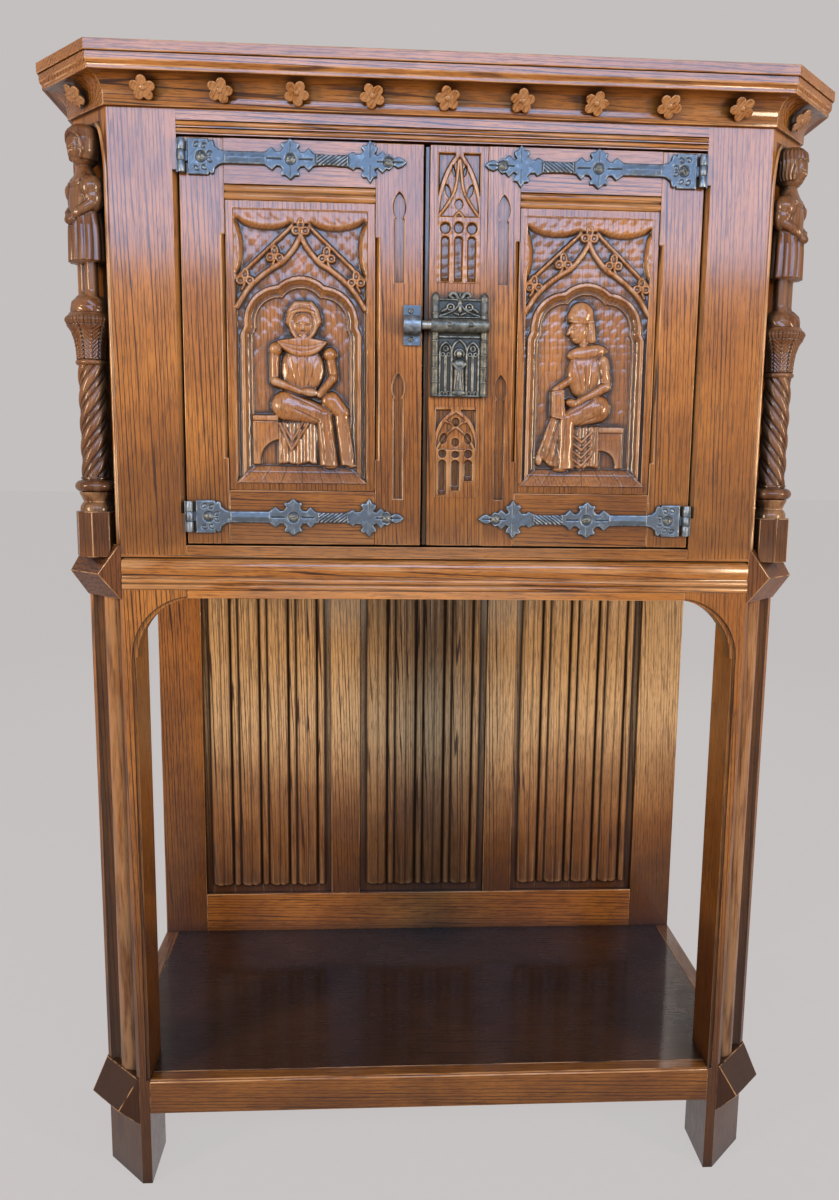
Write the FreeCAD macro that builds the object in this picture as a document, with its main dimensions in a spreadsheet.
"""Vestry cabinet: a carved oak cupboard with two doors on an open stand.

Millimetres, +Z up, the front faces -Y.  The origin is on the floor under the middle of the cornice.
"""
import FreeCAD
import Part
import Sketcher
import math
import operator
import os

SIZES = {
    # Overall form
    "front_width": 906, "cant": 64, "body_depth": 532,
    # Cornice and the board on top of it
    "frieze_height": 32, "cornice_height": 68, "cornice_projection": 40, "cornice_wall": 25,
    "top_board_thickness": 14, "rosette_count": 9, "rosette_pitch": 100, "rosette_radius": 16, "rosette_boss": 5,
    # Front posts: stile above, leg and foot below
    "stile_width": 91, "door_opening_height": 550, "stile_thickness": 30,
    "leg_width": 79, "leg_depth": 80, "foot_extra": 14, "arch_height": 87, "arch_step": 3,
    "arch_band": 8, "arch_band_depth": 4, "roll_fillet": 8, "roll_hollow": 17, "roll_depth": 13,
    "niche_depth": 22, "niche_margin": 11, "niche_head": 14,
    # Rails
    "belt_bottom": 924, "belt_height": 76, "shelf_rail_bottom": 119, "shelf_rail_height": 55,
    "shelf_rail_thickness": 24, "rail_thickness": 25, "tenon_length": 28, "tenon_thickness": 9,
    "tenon_shoulder": 8, "stub_tenon": 7, "leg_tenon": 14, "bead_height": 9, "bead_proud": 3,
    "moulding_rise": 12, "moulding_height": 50, "moulding_depth": 9, "moulding_proud": 3,
    # Back frame and linenfold
    "rear_post_width": 82, "rear_post_depth": 42, "back_bottom_rail_top": 252, "back_top_rail_height": 70,
    "muntin_width": 57, "panel_thickness": 10, "fold_count": 4,
    "fold_height": 8, "fold_bead": 12, "fold_end_margin": 8,
    # Boards
    "board_thickness": 22, "inner_shelf_rise": 262, "inner_shelf_setback": 70, "cleat_size": 18,
    "side_field_margin": 45, "side_field_height": 6,
    # Collars round the posts
    "collar_projection": 24, "collar_lip": 2, "collar_weathering": 42, "collar_under": 36,
    "low_collar_rise": 3, "low_collar_weathering": 53, "low_collar_under": 23,
    # Column and figure on each canted corner
    "column_offset": 8, "column_radius": 19, "column_groove": 4, "column_turns": 1.6, "torus_radius": 29,
    "pedestal_sink": 18, "pedestal_height": 64, "pedestal_flats": 56, "neck_radius": 23, "neck_height": 27,
    "torus_height": 18, "astragal_radius": 22, "astragal_height": 8, "bell_height": 45, "bell_radius": 20,
    "abacus_height": 17, "abacus_flats": 60, "figure_headroom": 16, "figure_height": 248, "figure_width": 68,
    "figure_depth": 46, "head_radius": 21,
    # Doors
    "door_thickness": 24, "door_recess": 2, "door_gap": 2.5, "meeting_left": -30, "meeting_right": -21,
    "hinge_stile_width": 59.5, "left_lock_stile_width": 65.5, "centre_board_width": 80,
    "right_inner_stile_width": 45, "door_top_rail_height": 78, "door_bottom_rail_height": 76,
    "reed_height": 10, "door_tenon": 30, "groove_depth": 8, "panel_tongue": 8, "panel_margin": 11,
    "panel_setback": 2, "field_depth": 9, "meeting_lip": 6.5, "lancet_width": 17, "lancet_depth": 5,
    "window_width": 58, "window_depth": 6, "chamfer": 6, "chamfer_stop": 45,
    # Strap hinges
    "hinge_axis_inset": 7, "hinge_axis_proud": 4, "hinge_top_inset": 25.5, "hinge_bottom_inset": 38.5,
    "barrel_radius": 5, "barrel_height": 43, "pin_radius": 2.5, "pin_running_gap": 0.05, "knuckle_gap": 0.3,
    "leaf_thickness": 2, "leaf_depth": 22, "strap_thickness": 4, "strap_length": 305, "strap_bar": 18,
    "strap_leaf": 46, "strap_cross": 52, "strap_leaf_length": 38, "strap_cross_place": 145, "strap_flower": 82,
    "screw_radius": 5, "screw_head": 2.5,
    # Lock, bolt and keeper
    "lock_left": -18, "lock_width": 80, "lock_rise": 212, "lock_height": 142, "lock_thickness": 4,
    "lock_shoulder": 9, "lock_pillar": 5, "bolt_rise": 96.5, "bolt_radius": 6, "bolt_bore_gap": 0.4,
    "bolt_case_wall": 3,
    "bolt_length": 84, "bolt_tip": -31, "keeper_left": -56, "keeper_right": -32.5, "keeper_height": 54,
    "keeper_wall": 4, "keeper_play": 2.6,
}

doc = FreeCAD.newDocument("vestry_cabinet")
sheet = doc.addObject("Spreadsheet::Sheet", "Sizes")
for row, (alias, number) in enumerate(SIZES.items(), start=1):
    sheet.set(f"A{row}", alias)
    sheet.set(f"B{row}", str(number))
    sheet.setAlias(f"B{row}", alias)
doc.recompute()

OPERATIONS = {"+": operator.add, "-": operator.sub, "*": operator.mul, "/": operator.truediv}


class Size:
    """A number together with the sheet formula that it comes from."""

    def __init__(self, value, formula):
        self.value = value
        self.formula = formula

    def __add__(self, other):
        return combine(self, "+", other)

    def __radd__(self, other):
        return combine(other, "+", self)

    def __sub__(self, other):
        return combine(self, "-", other)

    def __rsub__(self, other):
        return combine(other, "-", self)

    def __mul__(self, other):
        return combine(self, "*", other)

    def __rmul__(self, other):
        return combine(other, "*", self)

    def __truediv__(self, other):
        return combine(self, "/", other)

    def __neg__(self):
        return combine(-1, "*", self)

    def __lt__(self, other):
        return self.value < size(other).value


def size(number):
    return number if isinstance(number, Size) else Size(float(number), repr(float(number)))


def combine(first, sign, second):
    first, second = size(first), size(second)
    return Size(OPERATIONS[sign](first.value, second.value), f"({first.formula} {sign} {second.formula})")


def root(number):
    return Size(math.sqrt(number.value), f"sqrt({number.formula})")


class Cells:
    """Gives each cell of the sheet by its name."""

    def __getattr__(self, alias):
        return Size(float(sheet.get(alias)), f"Sizes.{alias}")


S = Cells()
SIDES = {"left": -1, "right": 1}
HALF = 0.5
DIAGONAL = math.sqrt(HALF)
MITRE = math.tan(math.radians(22.5))
finished = []


def keep(part, label):
    """Marks an object as a finished sub-part under its own name."""
    part.Label = label
    finished.append(part)
    return part


def bind(part, **sizes):
    for name, value in sizes.items():
        part.setExpression(name, size(value).formula)
    return part


def place(part, x=0, y=0, z=0):
    for axis, value in zip("xyz", (x, y, z)):
        part.setExpression(f"Placement.Base.{axis}", size(value).formula)
    return part


def ordered(low, high):
    return (low, high) if size(low) < size(high) else (high, low)


def box(x, y, z, name="block"):
    """A block between two values on each axis, given in either order."""
    (x0, x1), (y0, y1), (z0, z1) = ordered(*x), ordered(*y), ordered(*z)
    block = doc.addObject("Part::Box", name)
    bind(block, Length=x1 - x0, Width=y1 - y0, Height=z1 - z0)
    return place(block, x0, y0, z0)


def rod(radius, height, x, y, z, along_x=False, name="rod"):
    cylinder = doc.addObject("Part::Cylinder", name)
    bind(cylinder, Radius=radius, Height=height)
    if along_x:
        cylinder.Placement.Rotation = FreeCAD.Rotation(FreeCAD.Vector(0, 1, 0), 90)
    return place(cylinder, x, y, z)


def fuse(parts, name="joined"):
    joined = doc.addObject("Part::MultiFuse", name)
    joined.Shapes = parts
    return joined


def cut(base, tool, name="cut"):
    result = doc.addObject("Part::Cut", name)
    result.Base = base
    result.Tool = tool
    return result


def common(base, tool, name="common"):
    result = doc.addObject("Part::Common", name)
    result.Base = base
    result.Tool = tool
    return result


def group(parts, label):
    """Separate solids that share one node."""
    compound = doc.addObject("Part::Compound", label)
    compound.Links = parts
    return keep(compound, label)


def arc_between(start, end, radius):
    """Arc from start to end; a positive radius turns left, a negative one right."""
    chord = end - start
    middle = (start + end) * HALF
    left = FreeCAD.Vector(-chord.y, chord.x, 0).normalize()
    rise = math.sqrt(max(radius ** 2 - (chord.Length / 2) ** 2, 0))
    centre = middle + left * math.copysign(rise, radius)
    first, last = (start, end) if radius > 0 else (end, start)
    angles = [math.atan2(point.y - centre.y, point.x - centre.x) for point in (first, last)]
    if angles[1] <= angles[0]:
        angles[1] += 2 * math.pi
    circle = Part.Circle(centre, FreeCAD.Vector(0, 0, 1), abs(radius))
    return Part.ArcOfCircle(circle, *angles)


def fix_point(sketch, geometry, end, point):
    """Binds one corner of a sketch to the sheet."""
    for kind, axis_line, value in (("DistanceX", -2, point[0]), ("DistanceY", -1, point[1])):
        if abs(size(value).value) < 1e-9:
            sketch.addConstraint(Sketcher.Constraint("PointOnObject", geometry, end, axis_line))
            continue
        index = sketch.addConstraint(
            Sketcher.Constraint(kind, -1, 1, geometry, end, size(value).value))
        sketch.setExpression(f"Constraints[{index}]", size(value).formula)


def draw(body, plane, outline, offset=0):
    """Closed outline in one of the body's origin planes, moved along the plane's normal.

    Each corner is (a, b), or (a, b, r) where an arc of signed radius r arrives at it.
    """
    sketch = body.newObject("Sketcher::SketchObject", "Sketch")
    support = next(item for item in body.Origin.OriginFeatures if item.Role == plane)
    sketch.AttachmentSupport = [(support, "")]
    sketch.MapMode = "FlatFace"
    sketch.setExpression("AttachmentOffset.Base.z", size(offset).formula)
    corners = [FreeCAD.Vector(size(c[0]).value, size(c[1]).value, 0) for c in outline]
    ends = []
    for index, start in enumerate(corners):
        target = (index + 1) % len(outline)
        if len(outline[target]) == 3:
            radius = size(outline[target][2])
            curve = sketch.addGeometry(arc_between(start, corners[target], radius.value))
            limit = sketch.addConstraint(Sketcher.Constraint("Radius", curve, abs(radius.value)))
            sketch.setExpression(f"Constraints[{limit}]", f"abs({radius.formula})")
            ends.append((curve, 1, 2) if radius.value > 0 else (curve, 2, 1))
        else:
            ends.append((sketch.addGeometry(Part.LineSegment(start, corners[target])), 1, 2))
    for index, (curve, start, _) in enumerate(ends):
        before = ends[index - 1]
        sketch.addConstraint(Sketcher.Constraint("Coincident", before[0], before[2], curve, start))
        fix_point(sketch, curve, start, outline[index])
    return sketch


def new_body(name):
    return doc.addObject("PartDesign::Body", name)


def pad(body, plane, outline, length, offset=0, backwards=False, both_ways=False):
    feature = body.newObject("PartDesign::Pad", "Pad")
    feature.Profile = draw(body, plane, outline, offset)
    feature.Reversed = backwards
    feature.Midplane = both_ways
    return bind(feature, Length=length)


def pocket(body, plane, outline, depth, offset=0, backwards=False, both_ways=False):
    feature = body.newObject("PartDesign::Pocket", "Pocket")
    feature.Profile = draw(body, plane, outline, offset)
    feature.Reversed = backwards
    feature.Midplane = both_ways
    return bind(feature, Length=depth)


def rectangle(a, b):
    (a0, a1), (b0, b1) = ordered(*a), ordered(*b)
    return [(a0, b0), (a1, b0), (a1, b1), (a0, b1)]


def mirrored(outline, side):
    """The outline as it is on the right, or reflected for the left."""
    return [(side * c[0], c[1], *(side * r for r in c[2:])) for c in outline]


# Main levels and planes
front_half = S.front_width / 2
body_half = front_half + S.cant
overall_depth = S.body_depth + S.cornice_projection
y_front = S.cornice_projection - overall_depth / 2
y_back = y_front + S.body_depth
y_rear_post = y_back - S.rear_post_depth
opening_half = front_half - S.stile_width
stile_tenon = S.stile_width * 0.3
leg_inner = body_half - S.leg_width
opening_bottom = S.belt_bottom + S.belt_height
opening_top = opening_bottom + S.door_opening_height
cornice_bottom = opening_top + S.frieze_height
overall_height = cornice_bottom + S.cornice_height
shelf_top = S.shelf_rail_bottom + S.shelf_rail_height
cant_length = S.cant / DIAGONAL
side_inner = body_half - S.rail_thickness
rear_inner = body_half - S.rear_post_width
y_leg_back = y_front + S.leg_depth
hinge_axis_x = opening_half - S.hinge_axis_inset
inner_shelf = opening_bottom + S.inner_shelf_rise
lock_bottom = opening_bottom + S.lock_rise
bolt_height = lock_bottom + S.bolt_rise
moulding_z = (S.belt_bottom + S.moulding_rise, S.belt_bottom + S.moulding_rise + S.moulding_height)

# Levels of the collars and of what stands on each canted corner
collar_top = opening_bottom
collar_tip = collar_top - S.collar_weathering
collar_bottom = collar_tip - S.collar_under
low_collar_top = shelf_top + S.low_collar_rise
low_collar_tip = low_collar_top - S.low_collar_weathering
low_collar_bottom = low_collar_tip - S.low_collar_under
pedestal_bottom = opening_bottom - S.pedestal_sink
pedestal_top = pedestal_bottom + S.pedestal_height
torus_bottom = pedestal_top + S.neck_height
shaft_bottom = torus_bottom + S.torus_height
figure_top = cornice_bottom - S.figure_headroom
abacus_top = figure_top - S.figure_height
abacus_bottom = abacus_top - S.abacus_height
bell_bottom = abacus_bottom - S.bell_height
shaft_top = bell_bottom - S.astragal_height


def on_cant(along, out):
    """Plan point: distance along the canted face from its front arris, and out from that face."""
    return front_half + (along + out) * DIAGONAL, y_front + (along - out) * DIAGONAL


def cant_outline(points, side):
    """Outline given along and out from the canted face, as a plan outline."""
    return mirrored([(*on_cant(p[0], p[1]), *p[2:]) for p in points], side)


# Tenons are shared: each is joined to its rail and cut out of the post that holds it
mortises = {}


def tenoned(rail, tenons):
    for post, tenon in tenons:
        mortises.setdefault(post, []).append(tenon)
    return fuse([rail] + [tenon for _, tenon in tenons])


def mortised(blank, post):
    if post not in mortises:
        return blank
    return cut(blank, fuse(mortises[post]) if len(mortises[post]) > 1 else mortises[post][0])


def centred(middle, width):
    return middle - width / 2, middle + width / 2


def cross_rail(blank, ends, posts, y_middle, z, tenon_length):
    """Rail along X with a tenon into the post at each end."""
    tenons = []
    for (side, post), end in zip(posts, ends):
        reach = (end, end + side * tenon_length)
        tenons.append((post, box(reach, centred(y_middle, S.tenon_thickness),
                                 (z[0] + S.tenon_shoulder, z[1] - S.tenon_shoulder))))
    return tenoned(blank, tenons)


def crowned(chord, rise):
    """Radius of the arc that rises a given height over a chord."""
    return (chord * chord / 4 + rise * rise) / (2 * rise)


def moulded_rail(name, half_length, y0, y1, z0, z1, beads, quirk):
    """Rail along X whose front face carries a row of beads, each from a low to a high level."""
    body = new_body(name)
    profile = [(y1, z0), (y1, z1), (y0, z1)]
    for low, high in beads:
        profile += [(y0, high), (y0 + quirk, high)]
        profile += [(y0 + quirk, low, crowned(high - low, quirk))]
        profile += [(y0, low)]
    profile += [(y0, z0)]
    pad(body, "YZ_Plane", profile, 2 * half_length, both_ways=True)
    return body


# Front rails of the case and the stand
POSTS = [(-1, "left_front_post"), (1, "right_front_post")]
REAR = [(-1, "left_rear_post"), (1, "right_rear_post")]


def belt_moulding(y_seat):
    """Moulding planted across the front from arris to arris: fillet, cove, nosing and two beads."""
    body = new_body("moulding")
    low, high = moulding_z
    proud = y_front - S.moulding_proud
    nose = low + S.moulding_height * 0.62
    step = S.bead_height
    bulge = crowned(step, S.bead_proud)
    cove = S.moulding_height * 0.34
    outline = [(y_seat, low), (y_seat, high), (y_front, high), (y_front, high - S.moulding_proud),
               (y_front + S.moulding_proud * 2, high - S.moulding_proud), (proud, nose, cove),
               (proud, nose - S.moulding_proud), (y_front, low + 2 * step + S.moulding_proud),
               (y_front, low + 2 * step), (y_front, low + step, bulge), (y_front, low, bulge)]
    pad(body, "YZ_Plane", outline, 2 * front_half, both_ways=True)
    return body


def front_rails():
    y_stile_back = y_front + S.stile_thickness
    y_mid = y_front + S.stile_thickness / 2
    ends = (-opening_half, opening_half)
    quirk = S.bead_proud / 2
    reeds = [(opening_top + quirk + k * S.bead_height, opening_top + (k + 1) * S.bead_height) for k in (1, 0)]
    frieze = moulded_rail("frieze", opening_half, y_front, y_stile_back, opening_top, cornice_bottom,
                          reeds, S.bead_proud)
    keep(cross_rail(frieze, ends, POSTS, y_mid, (opening_top, cornice_bottom), stile_tenon), "frieze_rail")
    low = S.belt_bottom
    y_seat = y_front + S.moulding_depth
    belt = new_body("belt")
    pad(belt, "YZ_Plane", [(y_stile_back, low), (y_stile_back, opening_bottom), (y_front, opening_bottom),
                           (y_front, moulding_z[1]), (y_seat, moulding_z[1]), (y_seat, moulding_z[0]),
                           (y_front, moulding_z[0]), (y_front, low)], 2 * opening_half, both_ways=True)
    y_tenon = (y_seat + y_stile_back) / 2
    keep(cross_rail(belt, ends, POSTS, y_tenon, (low, opening_bottom), stile_tenon), "belt_rail")
    keep(belt_moulding(y_seat), "belt_moulding")
    body = new_body("shelf_front")
    z0, z1 = S.shelf_rail_bottom, shelf_top
    nose = S.bead_proud
    pad(body, "YZ_Plane", [(y_front + S.shelf_rail_thickness, z0), (y_front + S.shelf_rail_thickness, z1),
                           (y_front + nose, z1), (y_front, z1 - nose), (y_front, z0)],
        2 * leg_inner, both_ways=True)
    rail = cross_rail(body, (-leg_inner, leg_inner), POSTS, y_front + S.shelf_rail_thickness / 2, (z0, z1),
                      S.leg_tenon)
    keep(rail, "shelf_front_rail")


# Sides: rails between the front and rear posts, and a fielded panel beside the cupboard
def side_rail(side, name, z):
    x = (side * side_inner, side * body_half)
    rail = box(x, (y_leg_back, y_rear_post), z)
    x_tenon = centred(side * (side_inner + body_half) / 2, S.tenon_thickness)
    z_tenon = (z[0] + S.tenon_shoulder, z[1] - S.tenon_shoulder)
    tenons = [(f"{name}_front_post", box(x_tenon, (y_leg_back - S.stub_tenon, y_leg_back), z_tenon)),
              (f"{name}_rear_post", box(x_tenon, (y_rear_post, y_rear_post + S.tenon_length), z_tenon))]
    return tenoned(rail, tenons)


def fielded_panel(side, z):
    """Side panel: a board with a raised, bevelled field on the outside."""
    x_in = side * (side_inner + S.rail_thickness / 2 - S.panel_thickness)
    x_out = side * (side_inner + S.rail_thickness / 2)
    board = box((x_in, x_out), (y_leg_back, y_rear_post), z)
    depth = y_rear_post - y_leg_back
    height = z[1] - z[0]
    field = doc.addObject("Part::Wedge", "field")
    edge = S.panel_thickness
    bind(field, Xmin=edge, Xmax=depth - edge, Zmin=edge, Zmax=height - edge, Ymin=0, Ymax=S.side_field_height,
         X2min=S.side_field_margin, X2max=depth - S.side_field_margin,
         Z2min=S.side_field_margin, Z2max=height - S.side_field_margin)
    turn = FreeCAD.Rotation(FreeCAD.Vector(0, 0, 1), -90 * side)
    field.Placement.Rotation = turn
    place(field, x_out, y_rear_post if side > 0 else y_leg_back, z[0])
    return fuse([board, field])


def sides():
    top_rail = (cornice_bottom - S.back_top_rail_height, cornice_bottom)
    levels = {"side_top_rails": top_rail, "side_belt_rails": (S.belt_bottom, opening_bottom),
              "side_shelf_rails": (S.shelf_rail_bottom, shelf_top)}
    for label, z in levels.items():
        group([side_rail(side, name, z) for name, side in SIDES.items()], label)
    group([fielded_panel(side, (opening_bottom, top_rail[0])) for side in SIDES.values()], "side_panels")
    y = (y_leg_back, y_rear_post)
    z = (inner_shelf - S.cleat_size, inner_shelf)
    panel_face = side_inner + S.rail_thickness / 2 - S.panel_thickness
    cleats = [box((side * panel_face, side * (panel_face - S.cleat_size)), y, z) for side in SIDES.values()]
    group(cleats, "shelf_cleats")


# Back: rails, muntins, linenfold below and plain boards above
def linenfold(middle, width, z0, z1):
    """Panel carved as hanging cloth: broad folds with a narrow bead between, and cut ends."""
    body = new_body("linenfold")
    y_ground = y_rear_post + S.fold_height + S.panel_setback
    y_face = y_rear_post + S.panel_setback
    left = middle - width / 2
    pad(body, "XY_Plane", rectangle((left, left + width), (y_ground, y_ground + S.panel_thickness)),
        z1 - z0, offset=z0)
    pitch = width / S.fold_count
    for index in range(int(S.fold_count.value)):
        start = left + index * pitch
        fold = pitch - S.fold_bead
        sag = crowned(fold, S.fold_height)
        lip = S.fold_height / 2
        bead_radius = crowned(S.fold_bead, lip)
        half_bead = S.fold_bead / 2
        outline = [(start, y_ground + 1), (start, y_ground - lip), (start + half_bead, y_ground - 1, bead_radius),
                   (start + half_bead + fold, y_ground - 1, sag),
                   (start + pitch, y_ground - lip, bead_radius), (start + pitch, y_ground + 1)]
        rise = S.fold_end_margin * (1 + index % 2)
        pad(body, "XY_Plane", outline, z1 - z0 - 2 * rise, offset=z0 + rise)
    return body


def back():
    y = (y_rear_post, y_rear_post + S.rail_thickness)
    y_mid = y_rear_post + S.rail_thickness / 2
    ends = (-rear_inner, rear_inner)
    levels = {"back_bottom_rail": (S.shelf_rail_bottom, S.back_bottom_rail_top),
              "back_middle_rail": (S.belt_bottom, opening_bottom),
              "back_top_rail": (cornice_bottom - S.back_top_rail_height, cornice_bottom)}
    for label, z in levels.items():
        keep(cross_rail(box(ends, y, z), ends, REAR, y_mid, z, S.tenon_length), label)
    z = (S.back_bottom_rail_top, S.belt_bottom)
    wide = (rear_inner - S.muntin_width) * 2 / 3
    muntins = [box(centred(side * (wide + S.muntin_width) / 2, S.muntin_width), y, z) for side in SIDES.values()]
    group(muntins, "back_muntins")
    for name, step in (("left", -1), ("middle", 0), ("right", 1)):
        keep(linenfold(step * (wide + S.muntin_width), wide, *z), f"{name}_linenfold_panel")
    y_board = (y_mid - S.panel_thickness / 2, y_mid + S.panel_thickness / 2)
    keep(box(ends, y_board, (opening_bottom, cornice_bottom - S.back_top_rail_height)), "upper_back_board")


# Shelves and boards
def notched_board(label, y_start, z_low, half_front, half_back):
    body = new_body(label)
    outline = [(-half_front, y_start), (half_front, y_start), (half_front, y_leg_back), (half_back, y_leg_back),
               (half_back, y_rear_post), (-half_back, y_rear_post), (-half_back, y_leg_back),
               (-half_front, y_leg_back)]
    pad(body, "XY_Plane", outline, S.board_thickness, offset=z_low)
    return keep(body, label)


def boards():
    notched_board("platform_shelf", y_front + S.shelf_rail_thickness, shelf_top - S.board_thickness,
                  leg_inner, side_inner)
    notched_board("cupboard_floor", y_front + S.stile_thickness, opening_bottom - S.board_thickness,
                  leg_inner, side_inner)
    panel_face = side_inner + S.rail_thickness / 2 - S.panel_thickness
    notched_board("cupboard_shelf", y_front + S.inner_shelf_setback, inner_shelf,
                  leg_inner, panel_face)
    body = new_body("top_board")
    pad(body, "XY_Plane", plan(S.cornice_projection), S.top_board_thickness,
        offset=overall_height - S.top_board_thickness)
    keep(body, "top_board")


def plan(out):
    """Plan of the body with canted front corners, grown by a distance on its front and sides."""
    right = [(front_half + MITRE * out, y_front - out), (body_half + out, y_front + S.cant - MITRE * out),
             (body_half + out, y_back)]
    return [(-x, y) for x, y in right] + right[::-1]


# Posts
def quarter_radius(reach, rise):
    """Radius of an arc that starts upright and gains a reach and a rise."""
    return (reach * reach + rise * rise) / (2 * reach)


def front_post(name, side):
    body = new_body(f"{name}_front")
    section = [(leg_inner, y_front), (front_half, y_front), (body_half, y_front + S.cant),
               (body_half, y_leg_back), (leg_inner, y_leg_back)]
    pad(body, "XY_Plane", mirrored(section, side), cornice_bottom)
    foot = rectangle((leg_inner, body_half), (y_leg_back, y_leg_back + S.foot_extra))
    pad(body, "XY_Plane", mirrored(foot, side), S.shelf_rail_bottom)
    spring = S.belt_bottom - S.arch_height
    cusp = leg_inner - S.arch_step
    reach = cusp - opening_half
    radius = quarter_radius(reach, S.arch_height)
    stile = [(leg_inner + S.arch_step, spring), (leg_inner + S.arch_step, cornice_bottom),
             (opening_half, cornice_bottom), (opening_half, S.belt_bottom), (cusp, spring, -radius)]
    pad(body, "XZ_Plane", mirrored(stile, side), S.stile_thickness, offset=-y_front, backwards=True)
    edge = cusp + S.arch_band
    wide = quarter_radius(edge - opening_half, S.arch_height + S.arch_step)
    band = [(opening_half, shelf_top), (edge, shelf_top), (edge, spring),
            (opening_half, S.belt_bottom + S.arch_step, wide)]
    pocket(body, "XZ_Plane", mirrored(band, side), S.arch_band_depth, offset=-y_front)
    rebate = rectangle((opening_half, front_half), moulding_z)
    pocket(body, "XZ_Plane", mirrored(rebate, side), S.moulding_depth, offset=-y_front)
    slope = [(opening_half, y_front), (opening_half + S.chamfer, y_front), (opening_half, y_front + S.chamfer)]
    pocket(body, "XY_Plane", mirrored(slope, side), S.door_opening_height - 2 * S.chamfer_stop,
           offset=opening_bottom + S.chamfer_stop, backwards=True)
    roll(body, side)
    niche(body, side)
    return keep(mortised(body, f"{name}_front_post"), f"{name}_front_post")


def roll(body, side):
    """Roll between two hollows, worked along the canted face of the leg between the collars."""
    first = S.roll_fillet
    second = S.roll_fillet + S.roll_hollow
    chord = cant_length - 2 * second
    crest = crowned(chord, S.roll_depth)
    hollow = S.roll_hollow
    clear = S.collar_lip
    outline = [(first, clear), (first, 0), (second, -S.roll_depth, -hollow),
               (cant_length - second, -S.roll_depth, crest), (cant_length - first, 0, -hollow),
               (cant_length - first, clear)]
    pocket(body, "XY_Plane", cant_outline(outline, side), collar_bottom - low_collar_top,
           offset=low_collar_top, backwards=True)


def niche(body, side):
    """Recess on the canted face for the column and the figure."""
    outline = [(S.niche_margin, S.collar_lip), (cant_length - S.niche_margin, S.collar_lip),
               (cant_length - S.niche_margin, -S.niche_depth), (S.niche_margin, -S.niche_depth)]
    pocket(body, "XY_Plane", cant_outline(outline, side), cornice_bottom - S.niche_head - pedestal_bottom,
           offset=pedestal_bottom, backwards=True)


def rear_post(name, side):
    blank = box((side * rear_inner, side * body_half), (y_rear_post, y_back), (0, cornice_bottom))
    return keep(mortised(blank, f"{name}_rear_post"), f"{name}_rear_post")


# Collars: weathered mouldings round the outside of each front post
def collar(side, top, tip, bottom):
    body = new_body("collar")
    loft = body.newObject("PartDesign::AdditiveLoft", "Loft")
    sections = []
    for z, out in ((bottom, S.collar_lip), (tip, S.collar_projection), (top, S.collar_lip)):
        outline = [(front_half, y_front), (front_half + out / DIAGONAL, y_front),
                   (body_half + out, y_front + S.cant - MITRE * out), (body_half + out, y_leg_back),
                   (body_half, y_leg_back), (body_half, y_front + S.cant)]
        sections.append(draw(body, "XY_Plane", mirrored(outline, side), offset=z))
    loft.Profile = sections[0]
    loft.Sections = sections[1:]
    loft.Ruled = True
    return body


def collars():
    upper = [collar(side, collar_top, collar_tip, collar_bottom) for side in SIDES.values()]
    group(upper, "belt_collars")
    group([collar(side, low_collar_top, low_collar_tip, low_collar_bottom) for side in SIDES.values()],
          "foot_collars")
    return upper


# Cornice: one moulded profile, cut to mitred lengths
def cornice_profile(base, sign):
    """Profile from the wall out; base is the wall's plane and sign the outward direction."""
    z0 = cornice_bottom
    z1 = overall_height - S.top_board_thickness
    out = S.cornice_projection
    fillet = out / 8
    cove = out * 0.6
    low = z0 + fillet * 2
    high = low + cove
    points = [(-S.cornice_wall, z0), (fillet, z0), (fillet, low), (fillet + cove, high, -cove),
              (fillet * 2 + cove, high), (fillet * 2 + cove, high + fillet), (out - fillet / 2, high + fillet * 2),
              (out - fillet / 2, z1), (-S.cornice_wall, z1)]
    return [(base + sign * p[0], p[1], *(sign * r for r in p[2:])) for p in points]


def mitred(run, corners):
    """Part of a moulded run that stands over a plan outline."""
    body = new_body("mitre")
    pad(body, "XY_Plane", corners, S.cornice_height, offset=cornice_bottom)
    return common(run, body)


def cornice():
    out = S.cornice_projection
    wall = S.cornice_wall
    front = new_body("front_run")
    pad(front, "YZ_Plane", cornice_profile(y_front, -1), 2 * (body_half + out), both_ways=True)
    outer, inner = plan(out), plan(-wall)
    piece = mitred(front, [outer[0], outer[5], inner[5], inner[0]])
    front_length = keep(piece, "cornice_front")
    sides, cants = [], []
    for name, side in SIDES.items():
        run = new_body("side_run")
        profile = cornice_profile(side * body_half, side)
        pad(run, "XZ_Plane", profile, 2 * overall_depth, both_ways=True)
        at = (5, 4, 3) if side > 0 else (0, 1, 2)
        sides.append(mitred(run, [outer[at[1]], outer[at[2]], inner[at[2]], inner[at[1]]]))
        slant = new_body("cant_run")
        pad(slant, "YZ_Plane", cornice_profile(0, -1), 4 * S.cant, both_ways=True)
        x, y = on_cant(cant_length / 2, 0)
        slant.Placement.Rotation = FreeCAD.Rotation(FreeCAD.Vector(0, 0, 1), 45 * side)
        place(slant, side * x, y)
        cants.append(mitred(slant, [outer[at[0]], outer[at[1]], inner[at[1]], inner[at[0]]]))
    group(cants, "cornice_cants")
    group(sides, "cornice_sides")
    x_back = body_half - wall
    keep(box((-x_back, x_back), (y_back - wall, y_back),
             (cornice_bottom, overall_height - S.top_board_thickness)), "cornice_back_board")
    return front_length, cants


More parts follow.
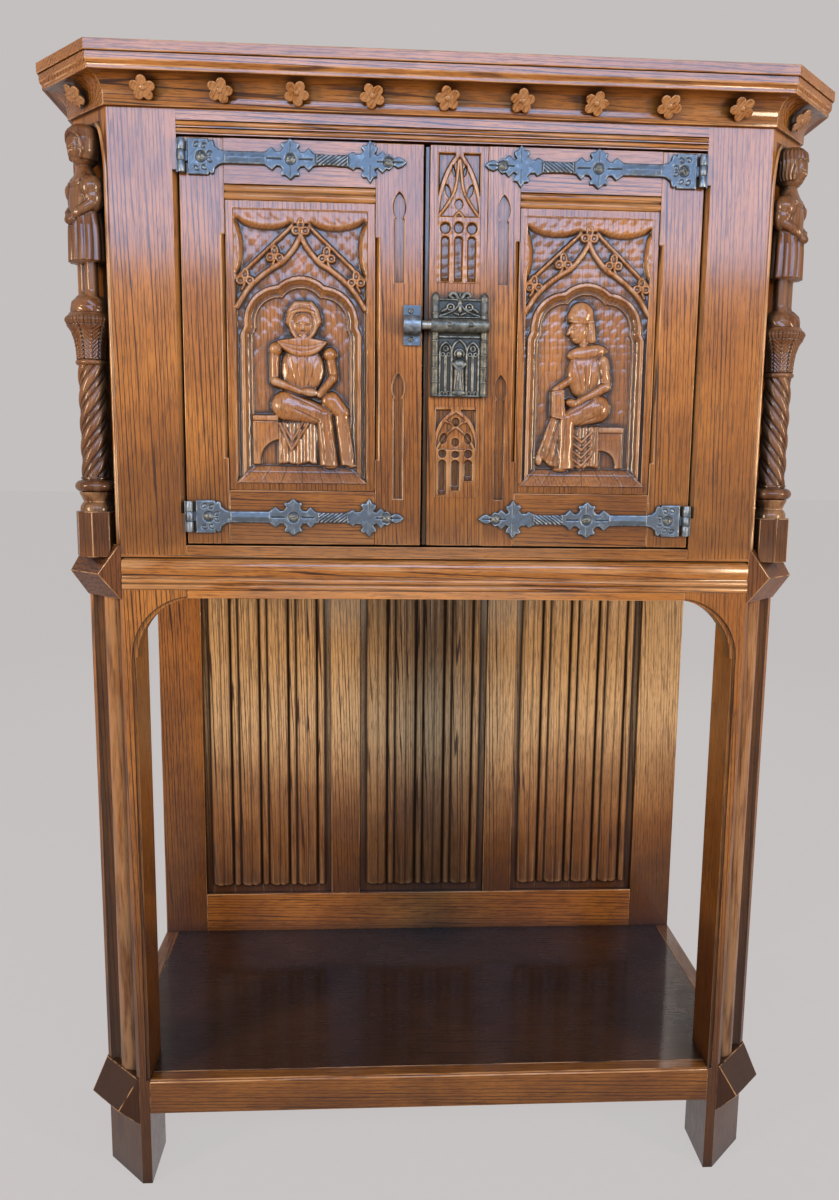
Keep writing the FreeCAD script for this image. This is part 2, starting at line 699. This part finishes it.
def rosettes(front_length, cants):
    """Round flowers that sit in the cove: a petal disc with a raised boss."""
    fillet = S.cornice_projection / 8
    cove = S.cornice_projection * 0.6
    out = fillet + cove * (1 - DIAGONAL) + fillet
    z = cornice_bottom + fillet * 2 + cove * DIAGONAL - fillet
    seats = [((index - (S.rosette_count.value - 1) / 2) * S.rosette_pitch, y_front - out, 0, front_length)
             for index in range(int(S.rosette_count.value))]
    for side, length in zip(SIDES.values(), cants):
        x, y = on_cant(cant_length / 2, out)
        seats.append((side * x, y, 45 * side, length))
    flowers = []
    for x, y, turn, length in seats:
        disc = doc.addObject("Part::Cylinder", "disc")
        bind(disc, Radius=S.rosette_radius, Height=S.rosette_boss * 4)
        boss = doc.addObject("Part::Cone", "boss")
        bind(boss, Radius1=S.rosette_boss + 1, Radius2=S.rosette_boss / 2, Height=S.rosette_boss * 5)
        flower = fuse([disc, boss])
        facing = FreeCAD.Rotation(FreeCAD.Vector(0, 0, 1), turn)
        lean = facing * FreeCAD.Rotation(FreeCAD.Vector(1, 0, 0), 135)
        back_off = S.rosette_boss * 3.4 * DIAGONAL
        heading = math.radians(turn)
        flower.Placement.Rotation = lean
        place(flower, x - back_off * math.sin(heading), y + back_off * math.cos(heading), z + back_off)
        flowers.append(cut(flower, length))
    group(flowers, "cornice_rosettes")


# Corner column, capital and figure; each stands in the niche and is flat at the back
def niche_back(side):
    """Block behind the floor of the niche, used to flatten what stands in front of it."""
    body = new_body("niche_back")
    reach = 2 * S.cant
    outline = [(-S.cant, -S.niche_depth), (cant_length + S.cant, -S.niche_depth),
               (cant_length + S.cant, -S.niche_depth - reach), (-S.cant, -S.niche_depth - reach)]
    pad(body, "XY_Plane", cant_outline(outline, side), overall_height)
    return body


def polygon(middle, flats, sides, turn):
    radius = flats / (2 * math.cos(math.pi / sides))
    steps = [math.radians(turn) + 2 * math.pi * k / sides for k in range(sides)]
    return [(middle[0] + radius * math.cos(a), middle[1] + radius * math.sin(a)) for a in steps]


def turned(profile, middle, name):
    """Solid of revolution about an upright axis; the profile is (radius, height[, arc])."""
    body = new_body(name)
    feature = body.newObject("PartDesign::Revolution", "Turned")
    base = profile[0][1]
    low = [(p[0], p[1] - base, *p[2:]) for p in profile]
    feature.Profile = draw(body, "XZ_Plane", low)
    feature.ReferenceAxis = (feature.Profile[0], ["V_Axis"])
    feature.Angle = 360
    return place(body, *middle, base)


def skinned(rings, name):
    """Solid under a skin of flat facets that joins rings of points, with a flat end below and above."""
    faces = []
    for low, high in zip(rings, rings[1:]):
        for k in range(len(low)):
            after = (k + 1) % len(low)
            for corners in ((low[k], low[after], high[k]), (low[after], high[after], high[k])):
                faces.append(Part.Face(Part.makePolygon([*corners, corners[0]])))
    faces += [Part.Face(Part.makePolygon(ring + ring[:1])) for ring in (rings[0], rings[-1])]
    skin = Part.makeShell(faces)
    skin.sewShape()
    solid = Part.Solid(skin)
    if solid.Volume < 0:
        solid.reverse()
    piece = doc.addObject("Part::Feature", name)
    piece.Shape = solid
    return piece


def twisted_shaft(middle, side):
    """Rope-turned shaft: a lobed section that turns as it rises."""
    lobes, steps, points = 4, 28, 16
    z0, z1 = shaft_bottom.value, shaft_top.value
    crest, groove = S.column_radius.value, S.column_groove.value
    rings = []
    for step in range(steps + 1):
        turn = side * 2 * math.pi * S.column_turns.value * step / steps
        z = z0 + (z1 - z0) * step / steps
        ring = []
        for k in range(points):
            angle = 2 * math.pi * k / points
            radius = crest - groove * (HALF - HALF * math.cos(lobes * angle)) ** 2
            ring.append(FreeCAD.Vector(middle[0].value + radius * math.cos(angle + turn),
                                       middle[1].value + radius * math.sin(angle + turn), z))
        rings.append(ring)
    return skinned(rings, "shaft")


def column_middle(side, out):
    x, y = on_cant(cant_length / 2, out)
    return side * x, y


def pedestal(side, middle):
    body = new_body("pedestal")
    pad(body, "XY_Plane", polygon(middle, S.pedestal_flats, 8, 0), pedestal_top - pedestal_bottom,
        offset=pedestal_bottom)
    r, z0, z1 = S.neck_radius, pedestal_top, torus_bottom
    waist = (r - 5, (z0 + z1) / 2, (z1 - z0) * HALF)
    neck = turned([(size(0), z0), (r, z0), waist, (r + 1, z1), (size(0), z1)], middle, "neck")
    return fuse([body, neck])


def ring_profile(z0, z1, radius):
    """Half section of a rounded ring that reaches out to a radius."""
    rise = (z1 - z0) * 0.4
    return [(size(0), z0), (radius - rise, z0), (radius - rise, z1, crowned(z1 - z0, rise)), (size(0), z1)]


def column(side, middle):
    z0, z1, r = torus_bottom, shaft_bottom, S.torus_radius
    torus = turned(ring_profile(z0, z1, r), middle, "torus")
    astragal = turned(ring_profile(shaft_top, bell_bottom, S.astragal_radius), middle, "astragal")
    return fuse([torus, twisted_shaft(middle, side), astragal])


def capital(side, middle):
    z0, z1 = bell_bottom, abacus_bottom
    wide = S.abacus_flats / 2 - 2
    flare = (z1 - z0) * 1.2
    bell = turned([(size(0), z0), (S.bell_radius, z0), (wide, z1, -flare), (size(0), z1)], middle, "bell")
    body = new_body("abacus")
    pad(body, "XY_Plane", polygon(middle, S.abacus_flats, 8, 0), abacus_top - z1, offset=z1)
    return fuse([bell, body])


def robe_section(middle, side, width, depth, z):
    """Oval with its long axis along the canted face."""
    along = FreeCAD.Vector(side * DIAGONAL, DIAGONAL, 0)
    out = FreeCAD.Vector(side * DIAGONAL, -DIAGONAL, 0)
    centre = FreeCAD.Vector(middle[0].value, middle[1].value, z)
    ring = []
    points = 16
    for k in range(points):
        angle = 2 * math.pi * k / points
        ring.append(centre + along * (width / 2 * math.cos(angle)) + out * (depth / 2 * math.sin(angle)))
    return ring


def figure(side, middle):
    """Standing robed figure on a low mound, as plain lofted masses with a round head."""
    z0 = abacus_top.value
    tall = figure_top.value - z0
    wide, deep = S.figure_width.value, S.figure_depth.value
    stations = ((0, 0.86, 0.98), (0.06, 0.8, 0.92), (0.1, 0.6, 0.72), (0.26, 0.62, 0.74), (0.28, 0.8, 0.92),
                (0.48, 0.78, 0.9), (0.52, 0.84, 0.96), (0.66, 0.98, 0.9), (0.76, 0.86, 0.74), (0.8, 0.34, 0.4),
                (0.83, 0.32, 0.4))
    robe = skinned([robe_section(middle, side, wide * w, deep * d, z0 + tall * h) for h, w, d in stations], "robe")
    r = S.head_radius
    head = doc.addObject("Part::Sphere", "head")
    bind(head, Radius=r)
    place(head, *middle, figure_top - r)
    return fuse([robe, head])


def niche_arch(side):
    """Pointed arch over the figure, planted on the head of the niche."""
    body = new_body("niche_arch")
    half = cant_length / 2 - S.niche_margin
    spring = size(0)
    head = S.niche_head * 3
    thick = S.niche_depth / 2
    radius = (half * half + head * head) / (2 * half)
    outline = [(-half, spring - head), (size(0), spring, -radius), (half, spring - head, -radius),
               (half, spring), (-half, spring)]
    pad(body, "XZ_Plane", outline, thick, backwards=True)
    body.Placement.Rotation = FreeCAD.Rotation(FreeCAD.Vector(0, 0, 1), 45 * side)
    x, y = on_cant(cant_length / 2, 0)
    return place(body, side * x, y, cornice_bottom - S.niche_head)


def corners(belt_collars):
    pedestals, capitals, arches = [], [], []
    for (name, side), seat in zip(SIDES.items(), belt_collars):
        middle = column_middle(side, S.column_offset)
        back_block = niche_back(side)
        pedestals.append(cut(cut(pedestal(side, middle), back_block), seat))
        keep(cut(column(side, middle), back_block), f"{name}_twisted_column")
        capitals.append(cut(capital(side, middle), back_block))
        keep(cut(figure(side, middle), back_block), f"{name}_figure")
        arches.append(niche_arch(side))
    group(pedestals, "column_pedestals")
    group(capitals, "column_capitals")
    group(arches, "niche_arches")


# Doors
y_door = y_front + S.door_recess
y_door_back = y_door + S.door_thickness
door_z = (opening_bottom + S.door_gap, opening_top - S.door_gap)
panel_z = (door_z[0] + S.door_bottom_rail_height, door_z[1] - S.door_top_rail_height)
y_groove = centred(y_door + S.door_thickness / 2, S.panel_tongue)


def lancet(x_middle, width, z0, z1):
    """Slot with a square foot, a straight shaft and a pointed leaf-shaped head above a neck."""
    shaft, neck = width * 0.4, width * 0.28
    head = width * 2
    swell = crowned(root(neck * neck + head * head), width * 0.36)
    low = z1 - head
    throat = low - (shaft - neck)
    return [(x_middle - shaft, z0), (x_middle + shaft, z0), (x_middle + shaft, throat), (x_middle + neck, low),
            (x_middle, z1, swell), (x_middle - neck, low, swell), (x_middle - shaft, throat)]


def door_stile(x, inner, lancets=(), windows=(), tenon_sides=True):
    """Upright of a door; inner is the edge (-1 low, 1 high) that holds the panel, or 0 for none."""
    body = new_body("stile")
    x0, x1 = x
    pad(body, "XY_Plane", rectangle((x0, x1), (y_door, y_door_back)), door_z[1] - door_z[0], offset=door_z[0])
    edge = x1 if inner > 0 else x0
    if inner:
        groove = rectangle((edge, edge - inner * S.groove_depth), y_groove)
        reach = 2 * S.groove_depth
        pocket(body, "XY_Plane", groove, panel_z[1] - panel_z[0] + reach, offset=panel_z[0] - S.groove_depth,
               backwards=True)
        slope = [(edge, y_door), (edge - inner * S.chamfer, y_door), (edge, y_door + S.chamfer)]
        run = panel_z[1] - panel_z[0] - 2 * S.chamfer_stop
        pocket(body, "XY_Plane", slope, run, offset=panel_z[0] + S.chamfer_stop, backwards=True)
        for z0, z1 in ((door_z[0], panel_z[0]), (panel_z[1], door_z[1])):
            slot = rectangle((edge, edge - inner * S.door_tenon), y_groove)
            z0, z1 = z0 + S.tenon_shoulder, z1 - S.tenon_shoulder
            pocket(body, "XY_Plane", slot, z1 - z0, offset=z0, backwards=True)
    for outline in lancets:
        pocket(body, "XZ_Plane", outline, S.lancet_depth, offset=-y_door)
    for outline in windows:
        pocket(body, "XZ_Plane", outline, S.window_depth, offset=-y_door)
    return body


def door_rail(x, z, reeded):
    """Rail between two stiles with tenons, a panel groove and, on the top rail, two reeds."""
    x0, x1 = x
    body = new_body("rail")
    low, high = z
    profile = [(y_door_back, low), (y_door_back, high), (y_door, high)]
    if reeded:
        lift = S.bead_proud
        radius = crowned(S.reed_height, lift)
        for k in (2, 1):
            profile += [(y_door + lift, low + k * S.reed_height),
                        (y_door + lift, low + (k - 1) * S.reed_height, radius)]
        profile[3:3] = [(y_door, low + 2 * S.reed_height)]
        del profile[-2]
    else:
        profile += [(y_door, low)]
    pad(body, "YZ_Plane", profile, x1 - x0, offset=x0)
    tongue = rectangle(y_groove, (low + S.tenon_shoulder, high - S.tenon_shoulder))
    pad(body, "YZ_Plane", tongue, x1 - x0 + 2 * S.door_tenon, offset=x0 - S.door_tenon)
    grooved = (low, low + S.groove_depth) if reeded else (high - S.groove_depth, high)
    pocket(body, "YZ_Plane", rectangle(y_groove, grooved), x1 - x0, offset=x0, backwards=True)
    return body


def door_panel(x):
    """Panel with a flat margin round a sunk field, held by tongues in the frame's grooves."""
    x0, x1 = x
    g = S.groove_depth
    body = new_body("panel")
    y0 = y_door + S.panel_setback
    pad(body, "XZ_Plane", rectangle((x0, x1), panel_z), y_groove[1] - y0, offset=-y0, backwards=True)
    pad(body, "XZ_Plane", rectangle((x0 - g, x1 + g), (panel_z[0] - g, panel_z[1] + g)), S.panel_tongue,
        offset=-y_groove[0], backwards=True)
    m = S.panel_margin
    field = rectangle((x0 + m, x1 - m), (panel_z[0] + m, panel_z[1] - m))
    pocket(body, "XZ_Plane", field, S.field_depth, offset=-y0)
    return body


def doors():
    z_mid = (lock_bottom, lock_bottom + S.lock_height)
    outer = opening_half - S.door_gap
    hinge_edge = outer - S.hinge_stile_width
    lock_edge = S.meeting_left - S.left_lock_stile_width
    upper = (z_mid[1] + 12, panel_z[1] + 16)
    lower = (panel_z[0] - 10, z_mid[0] + 32)
    x_mid = S.meeting_left - S.left_lock_stile_width / 2
    slots = [lancet(x_mid, S.lancet_width, *span) for span in (upper, lower)]
    keep(door_stile((-outer, -hinge_edge), 1), "left_door_hinge_stile")
    keep(door_stile((lock_edge, S.meeting_left), -1, slots), "left_door_lock_stile")
    rails((-hinge_edge, lock_edge), "left")
    centre_edge = S.meeting_right + S.centre_board_width
    inner_edge = centre_edge + S.right_inner_stile_width
    x_slot = centre_edge + S.right_inner_stile_width / 2
    slots = [lancet(x_slot, S.lancet_width, *span) for span in (upper, lower)]
    x_mid = S.meeting_right + S.centre_board_width / 2
    spans = ((z_mid[1] + 14, door_z[1] - 10), (panel_z[0] - 6, z_mid[0] - 14))
    windows = [rectangle(centred(x_mid, S.window_width), span) for span in spans]
    board = door_stile((S.meeting_right, centre_edge), 0, (), windows)
    lip = rectangle((S.meeting_right - S.meeting_lip, S.meeting_right + 1), (y_groove[0], y_door_back))
    pad(board, "XY_Plane", lip, door_z[1] - door_z[0], offset=door_z[0])
    keep(board, "right_door_centre_board")
    keep(door_stile((centre_edge, inner_edge), 1, slots), "right_door_inner_stile")
    keep(door_stile((hinge_edge, outer), -1), "right_door_hinge_stile")
    rails((inner_edge, hinge_edge), "right")


def rails(x, name):
    keep(door_rail(x, (panel_z[1], door_z[1]), True), f"{name}_door_top_rail")
    keep(door_rail(x, (door_z[0], panel_z[0]), False), f"{name}_door_bottom_rail")
    keep(door_panel(x), f"{name}_door_panel")


# Strap hinges: leaf and outer knuckles on the post, strap and middle knuckle on the door
def strap_outline(axis, side, level):
    """Plate on the door: notched leaf, bar, cross, waisted bar and pointed flower end."""
    bar, leaf, cross = S.strap_bar / 2, S.strap_leaf / 2, S.strap_cross / 2
    root_end = S.barrel_radius + S.leaf_thickness
    leaf_end, middle = S.strap_leaf_length, S.strap_cross_place
    flower, reach = S.strap_length - S.strap_flower, S.strap_length
    shoulder = cross - bar * 2 / 3
    upper = [(root_end, leaf), (leaf_end, leaf), (leaf_end + bar, bar), (middle - 2 * bar, bar),
             (middle - bar * 3 / 2, shoulder), (middle - bar * 3 / 4, cross), (middle + bar * 3 / 4, cross),
             (middle + bar * 3 / 2, shoulder), (middle + 2 * bar, bar), (flower, bar),
             (flower + S.strap_flower / 5, cross), (flower + S.strap_flower / 2, cross),
             (flower + S.strap_flower * 2 / 3, bar - 1), (reach, size(0))]
    points = upper + [(a, -1 * b) for a, b in upper[-2::-1]]
    return [(axis - side * a, level + b) for a, b in points]


def hinge(side, level):
    axis = side * hinge_axis_x
    y_axis = y_front - S.hinge_axis_proud
    third = S.barrel_height / 3
    z0 = level - S.barrel_height / 2
    bore = S.pin_radius + S.pin_running_gap
    plate = new_body("strap")
    pad(plate, "XZ_Plane", strap_outline(axis, side, level), S.strap_thickness, offset=-y_door)
    middle = (z0 + third + S.knuckle_gap, z0 + 2 * third - S.knuckle_gap)
    y_strap = (y_door - S.strap_thickness, y_door)
    neck = box((axis, axis - side * (S.barrel_radius + 4)), y_strap, middle)
    knuckle = rod(S.barrel_radius, middle[1] - middle[0], axis, y_axis, middle[0])
    strap = cut(fuse([plate, neck, knuckle]), rod(bore, S.barrel_height, axis, y_axis, z0))
    x_leaf = (side * opening_half, side * (opening_half - S.leaf_thickness))
    leaf_parts = [box(x_leaf, (y_axis, y_axis + S.leaf_depth), (z0, z0 + S.barrel_height))]
    for k in (0, 2):
        low = z0 + k * third
        leaf_parts.append(rod(S.barrel_radius, third, axis, y_axis, low))
        y_leaf = (y_axis, y_axis + S.leaf_thickness)
        leaf_parts.append(box((axis, side * opening_half), y_leaf, (low, low + third)))
    clear = rod(S.barrel_radius + 1, third, axis, y_axis, z0 + third)
    bore_rod = rod(bore, S.barrel_height, axis, y_axis, z0)
    jamb = cut(cut(fuse(leaf_parts), bore_rod), clear)
    pin = rod(S.pin_radius, S.barrel_height, axis, y_axis, z0)
    return strap, jamb, pin


def screws(side, level):
    places = (S.strap_leaf_length * 2 / 3, S.strap_cross_place, S.strap_length - S.strap_flower / 3)
    y0 = y_door - S.strap_thickness
    heads = []
    for along in places:
        head = doc.addObject("Part::Cone", "screw_head")
        bind(head, Radius1=S.screw_radius, Radius2=S.screw_radius * 0.6, Height=S.screw_head)
        head.Placement.Rotation = FreeCAD.Rotation(FreeCAD.Vector(1, 0, 0), 90)
        heads.append(place(head, side * (hinge_axis_x - along), y0, level))
    return heads


def hinges():
    pins = []
    for name, side in SIDES.items():
        straps, jambs, heads = [], [], []
        for level in (door_z[1] - S.hinge_top_inset, door_z[0] + S.hinge_bottom_inset):
            strap, jamb, pin = hinge(side, level)
            straps.append(strap)
            jambs.append(jamb)
            pins.append(pin)
            heads += screws(side, level)
        group(straps, f"{name}_strap_hinges")
        group(heads, f"{name}_strap_screws")
        group(jambs, f"{name}_jamb_leaves")
    group(pins, "hinge_pins")


# Lock plate with its bolt on the right door, and the keeper on the left one
def lock():
    x0, x1 = S.lock_left, S.lock_left + S.lock_width
    z0, z1 = lock_bottom, lock_bottom + S.lock_height
    middle = (x0 + x1) / 2
    shoulder = S.lock_shoulder
    crest = shoulder * 2
    tip = shoulder / 2
    plate = new_body("lock_blank")
    top = z1 - shoulder
    outline = [(x0, z0), (x1, z0), (x1, top), (middle + crest, top), (middle + tip, z1 - tip), (middle, z1),
               (middle - tip, z1 - tip), (middle - crest, top), (x0, top)]
    pad(plate, "XZ_Plane", outline, S.lock_thickness, offset=-y_door)
    y_plate = y_door - S.lock_thickness
    bore = S.bolt_radius + S.bolt_bore_gap
    case_radius = bore + S.bolt_case_wall
    y_bolt = y_plate - case_radius + S.bolt_case_wall
    case = rod(case_radius, S.lock_width, x0, y_bolt, bolt_height, along_x=True)
    inset = S.lock_pillar + 1
    pillars = [rod(S.lock_pillar, z1 - z0 - shoulder, x, y_plate - 1, z0) for x in (x0 + inset, x1 - inset)]
    behind = box((x0 - tip, x1 + tip), (y_door, y_door_back), (z0 - tip, z1 + tip))
    hole = rod(bore, S.lock_width + 2, x0 - 1, y_bolt, bolt_height, along_x=True)
    keep(cut(cut(fuse([plate, case] + pillars), behind), hole), "lock_plate")
    keep(rod(S.bolt_radius, S.bolt_length, S.bolt_tip, y_bolt, bolt_height, along_x=True), "lock_bolt")
    k0, k1 = S.keeper_left, S.keeper_right
    half = S.keeper_height / 2
    pad_plate = box((k0, k1), (y_door - S.lock_thickness, y_door), (bolt_height - half, bolt_height + half))
    room = S.bolt_radius + S.keeper_play
    loop = rod(room + S.keeper_wall, k1 - k0, k0, y_bolt, bolt_height, along_x=True)
    space = rod(room, k1 - k0 + 2, k0 - 1, y_bolt, bolt_height, along_x=True)
    back_block = box((k0 - 1, k1 + 1), (y_door, y_door_back), (bolt_height - half, bolt_height + half))
    keep(cut(cut(fuse([pad_plate, loop]), back_block), space), "keeper")


front_rails()
sides()
back()
boards()
for side_name, side_sign in SIDES.items():
    front_post(side_name, side_sign)
    rear_post(side_name, side_sign)
collar_pair = collars()
rosettes(*cornice())
corners(collar_pair)
doors()
hinges()
lock()
doc.recompute()

failed = [item.Label for item in doc.Objects if "Invalid" in item.State or "Error" in item.State]
if failed:
    raise RuntimeError(f"failed features: {failed}")
for part in finished:
    if part.Shape.isNull() or not part.Shape.isValid():
        raise RuntimeError(f"bad shape: {part.Label}")

os.makedirs("parts", exist_ok=True)
for part in finished:
    part.Shape.exportStep(os.path.join("parts", f"{part.Label}.step"))
print(f"{len(finished)} parts written")
